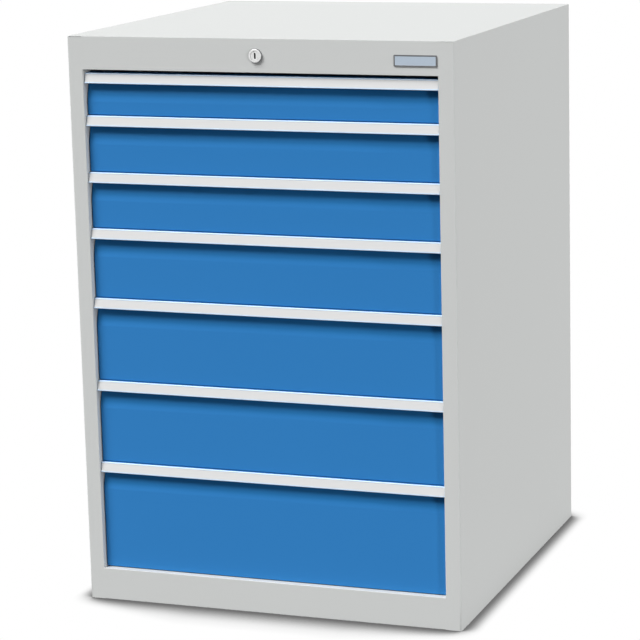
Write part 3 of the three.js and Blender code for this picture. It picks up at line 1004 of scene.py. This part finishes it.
def make_rosette():
    sizes = settings("lock")
    low, high = corners("lock_rosette")
    centre = middle_of(low, high)
    fascia = corners("top_panel")[0].y - sizes.seat
    piece = add_disc("lock_rosette_ring", centre, high.x, low.y, fascia, 72)
    wall = sizes.bore + sizes.wall
    edit(piece)
    pick(piece, "FACE", looks_back)
    inset(high.x - wall)
    pull((0, high.y - fascia, 0))
    inset(wall - sizes.bore)
    bpy.ops.mesh.delete(type="FACE")
    pick(piece, "FACE", looks_front)
    inset(high.x - sizes.bore)
    bpy.ops.mesh.delete(type="FACE")

    def radius(edge):
        return (middle(edge) - Vector((centre.x, middle(edge).y, centre.z))).length

    pick(piece, "EDGE", lambda edge: len(edge.link_faces) == 1)
    bpy.ops.mesh.bridge_edge_loops()
    pick(piece, "EDGE", lambda edge: lies_at(edge, "Y", low.y) and len(edge.link_faces) == 2
         and radius(edge) > high.x - sizes.lip)
    bevel(sizes.chamfer, 5)
    pick(piece, "EDGE", lambda edge: lies_at(edge, "Y", low.y)
         and abs(radius(edge) - sizes.bore) < sizes.lip / 2)
    bevel(sizes.lip, 3)
    recalculate()
    leave()
    complete(piece, "cabinet", "nickel", "lock_metal", ["lock_rosette"], 40)


def make_lock_face():
    """A turned cap over the cylinder's end, with the key slot and a fine groove round it."""
    sizes = settings("lock")
    low, high = corners("lock_rosette")
    centre = middle_of(low, high)
    face = low.y + sizes.sink
    piece = add_disc("lock_cylinder_plug", centre, sizes.plug, face, high.y, 72)
    edit(piece)
    pick(piece, "FACE", looks_front)
    bevel(sizes.plug_edge, 3)
    pick(piece, "FACE", lambda item: item.normal.y < -0.99 and item.calc_area() > 0.0001)
    inset(sizes.groove_in)
    inset(sizes.groove, -sizes.groove)
    inset(sizes.groove, sizes.groove)
    leave()
    half = Vector((sizes.slot_width / 2, 0, sizes.slot_height / 2))
    before = 0.002
    tool = add_block("slot", (centre.x - half.x, face - before, centre.z - half.z),
                     (centre.x + half.x, face + sizes.slot_depth, centre.z + half.z))
    edit(tool)
    pick(tool, "EDGE", lambda edge: runs_along(edge, "Y"))
    bevel(sizes.slot_corner, 4)
    leave()
    combine(piece, tool, "DIFFERENCE")
    back = corners("lock_bar")[0].y - sizes.play
    front = back - sizes.lever
    inside = middle_of(front, back)
    end = centre - Vector((sizes.throw, 0, 0))
    lever = add_disc("lever", centre, sizes.hub, front, back, 48)
    for part in (add_disc("tip", end, sizes.tip, front, back, 32),
                 add_block("arm", (end.x, front, end.z - sizes.tip), (centre.x, back, end.z + sizes.tip)),
                 add_disc("shaft", centre, sizes.shaft, high.y, inside, 48),
                 add_disc("pin", end, sizes.pin, inside, corners("lock_cylinder")[1].y, 24)):
        combine(lever, part, "UNION")
    piece = merge([piece, lever], "lock_cylinder_plug")
    complete(piece, "lock_cylinder", "nickel", "lock_metal", ["lock_cylinder"], 35)


def make_name_plate():
    sizes = settings("plate")
    low, high = corners("name_plate")
    piece = add_block("name_plate_blank", low, high)
    edit(piece)
    pick(piece, "FACE", looks_front)
    inset(sizes.border)
    inset(sizes.wall, -sizes.sink)
    pick(piece, "EDGE", lambda edge: runs_along(edge, "Y") and edge.calc_length() > high.y - low.y - NEAR)
    bevel(sizes.corner, 6)
    leave()
    piece.data.materials.append(finish("border"))
    piece.data.materials.append(finish("plate"))
    edit(piece)
    pick(piece, "FACE", lambda face: looks_front(face) and face.calc_area() > 0.0005)
    piece.active_material_index = 1
    bpy.ops.object.material_slot_assign()
    leave()
    soften(piece, sizes.burr, 50)
    complete(piece, "cabinet", None, "plate", ["name_plate"])


# Stage

def make_floor():
    studio = settings("studio")
    clear()
    bpy.ops.mesh.primitive_plane_add(size=studio.floor, location=(0, 0, -studio.floor_gap))
    floor = settle(bpy.context.object, "studio_floor")
    recipe = Recipe("pale_floor")
    aside = (recipe.split(recipe.place())[0].size() - studio.shadow_start) / studio.shadow_fade
    reach = studio.shadow_front - aside.most(0.0).least(1.0) * (studio.shadow_front - studio.shadow_side)
    corner = recipe.node("ShaderNodeAmbientOcclusion", {"Distance": reach}, output="AO", samples=24)
    shade = recipe.node("ShaderNodeValToRGB", {"Fac": corner}, output="Color",
                        stops=[(place, (grey, grey, grey)) for place, grey in SHADOW_GREYS])
    glow = recipe.node("ShaderNodeEmission", {"Color": shade, "Strength": 1.0})
    even = recipe.node("ShaderNodeEmission", {"Color": WHITE, "Strength": studio.ground})
    mix = recipe.node("ShaderNodeMixShader", {0: recipe.seen(), 1: even, 2: glow})
    floor.data.materials.append(recipe.show(mix, "ShaderNodeOutputMaterial"))


def make_room():
    studio = settings("studio")
    recipe = Recipe("studio_room", world=True)
    even = recipe.node("ShaderNodeBackground", {"Color": WHITE, "Strength": studio.room})
    white = recipe.node("ShaderNodeBackground", {"Color": WHITE})
    mix = recipe.node("ShaderNodeMixShader", {0: recipe.seen(), 1: even, 2: white})
    bpy.context.scene.world = recipe.show(mix, "ShaderNodeOutputWorld")
    make_lamp("key_lamp", Vector(studio.key_lamp), studio.softness)
    for name in ("fill_lamp", "side_lamp", "rear_lamp"):
        make_lamp(name, Vector(getattr(studio, name)), studio.crispness)


def hold(name, data):
    """A new object for a lamp or a camera."""
    holder = bpy.data.objects.new(name, data)
    bpy.context.scene.collection.objects.link(holder)
    return holder


def make_lamp(name, light, softness):
    """A wide soft lamp far away, in the direction and with the strength of the vector."""
    lamp = bpy.data.lights.new(name, "SUN")
    lamp.energy = math.pi * light.length
    lamp.angle = softness
    hold(name, lamp).rotation_euler = light.to_track_quat("Z", "Y").to_euler()


def make_camera():
    studio = settings("studio")
    camera = bpy.data.cameras.new("photo_camera")
    camera.lens = studio.focal
    camera.sensor_width = studio.sensor
    camera.sensor_fit = "HORIZONTAL"
    camera.shift_x = studio.shift_x
    camera.shift_y = studio.shift_y
    camera.clip_end = studio.sight
    holder = hold("photo_camera", camera)
    eye, aim = Vector(studio.eye), Vector(studio.aim)
    ahead = (aim - eye).normalized()
    level = ahead.cross(Vector((0, 0, 1))).normalized()
    right = Quaternion(ahead, studio.roll) @ level
    up = right.cross(ahead)
    holder.matrix_world = Matrix.Translation(eye) @ Matrix((right, up, -ahead)).transposed().to_4x4()
    bpy.context.scene.camera = holder


# Operators

class CabinetOperator:
    bl_options = {"REGISTER", "UNDO"}


class CABINET_OT_carcass(CabinetOperator, bpy.types.Operator):
    """Fold the side panels, the top, the base and the back"""
    bl_idname = "cabinet.carcass"
    bl_label = "Carcass"

    def execute(self, context):
        for side in (-1, 1):
            make_side_panel(side)
        make_top_panel()
        make_base()
        make_back_panel()
        make_rivets()
        return {"FINISHED"}


class CABINET_OT_fronts(CabinetOperator, bpy.types.Operator):
    """Fold the seven drawer fronts"""
    bl_idname = "cabinet.fronts"
    bl_label = "Drawer fronts"

    def execute(self, context):
        make_alike("_front", "_front_pan", fold_front, "front", "front_blue", angle=40, sheet=True)
        return {"FINISHED"}


class CABINET_OT_strips(CabinetOperator, bpy.types.Operator):
    """Draw the seven grip strips with their label inserts"""
    bl_idname = "cabinet.strips"
    bl_label = "Grip strips"

    def execute(self, context):
        make_alike("_handle", "_grip_strip", draw_strip, "strip", "handle_aluminium")
        make_alike("_handle", "_label_insert", cut_label, "label", "handle_aluminium", replaced=False)
        return {"FINISHED"}


class CABINET_OT_boxes(CabinetOperator, bpy.types.Operator):
    """Finish the drawer boxes"""
    bl_idname = "cabinet.boxes"
    bl_label = "Drawer boxes"

    def execute(self, context):
        for drawer in DRAWERS:
            dress(drawer + "_box", "inside")
        return {"FINISHED"}


class CABINET_OT_rails(CabinetOperator, bpy.types.Operator):
    """Finish the posts, the rails and the lock bar"""
    bl_idname = "cabinet.rails"
    bl_label = "Rails and lock bar"

    def execute(self, context):
        for node in frame["nodes"]:
            if node.startswith("rail_") or node in ("left_rail_frame", "right_rail_frame", "lock_bar"):
                dress(node, "zinc")
        return {"FINISHED"}


class CABINET_OT_lock(CabinetOperator, bpy.types.Operator):
    """Turn the rosette and the lock's cylinder"""
    bl_idname = "cabinet.lock"
    bl_label = "Lock"

    def execute(self, context):
        make_rosette()
        make_lock_face()
        return {"FINISHED"}


class CABINET_OT_plate(CabinetOperator, bpy.types.Operator):
    """Make the bare name plate"""
    bl_idname = "cabinet.plate"
    bl_label = "Name plate"

    def execute(self, context):
        make_name_plate()
        return {"FINISHED"}


class CABINET_OT_stage(CabinetOperator, bpy.types.Operator):
    """Lay the floor and set the light and the camera"""
    bl_idname = "cabinet.stage"
    bl_label = "Stage"

    def execute(self, context):
        make_floor()
        make_room()
        make_camera()
        context.scene.view_settings.view_transform = "Standard"
        return {"FINISHED"}


OPERATORS = [CABINET_OT_stage, CABINET_OT_carcass, CABINET_OT_fronts, CABINET_OT_strips, CABINET_OT_boxes,
             CABINET_OT_rails, CABINET_OT_lock, CABINET_OT_plate]


class CABINET_PT_panel(bpy.types.Panel):
    bl_label = "Drawer cabinet"
    bl_space_type = "VIEW_3D"
    bl_region_type = "UI"
    bl_category = "Cabinet"

    def draw(self, context):
        for operator in OPERATORS:
            self.layout.operator(operator.bl_idname)
        for name, group in GROUPS.items():
            box = self.layout.box()
            box.label(text=group.__name__)
            for key in group.__annotations__:
                box.prop(getattr(context.scene, name), key)


CLASSES = [*GROUPS.values(), *OPERATORS, CABINET_PT_panel]


def register():
    for item in CLASSES:
        bpy.utils.register_class(item)
    for name, group in GROUPS.items():
        setattr(bpy.types.Scene, name, PointerProperty(type=group))


def unregister():
    for name in GROUPS:
        delattr(bpy.types.Scene, name)
    for item in reversed(CLASSES):
        bpy.utils.unregister_class(item)


def main():
    register()
    clear()
    bpy.ops.cabinet.stage()
    bpy.ops.cabinet.carcass()
    bpy.ops.cabinet.fronts()
    bpy.ops.cabinet.strips()
    bpy.ops.cabinet.boxes()
    bpy.ops.cabinet.rails()
    bpy.ops.cabinet.lock()
    bpy.ops.cabinet.plate()


if __name__ == "__main__":
    main()
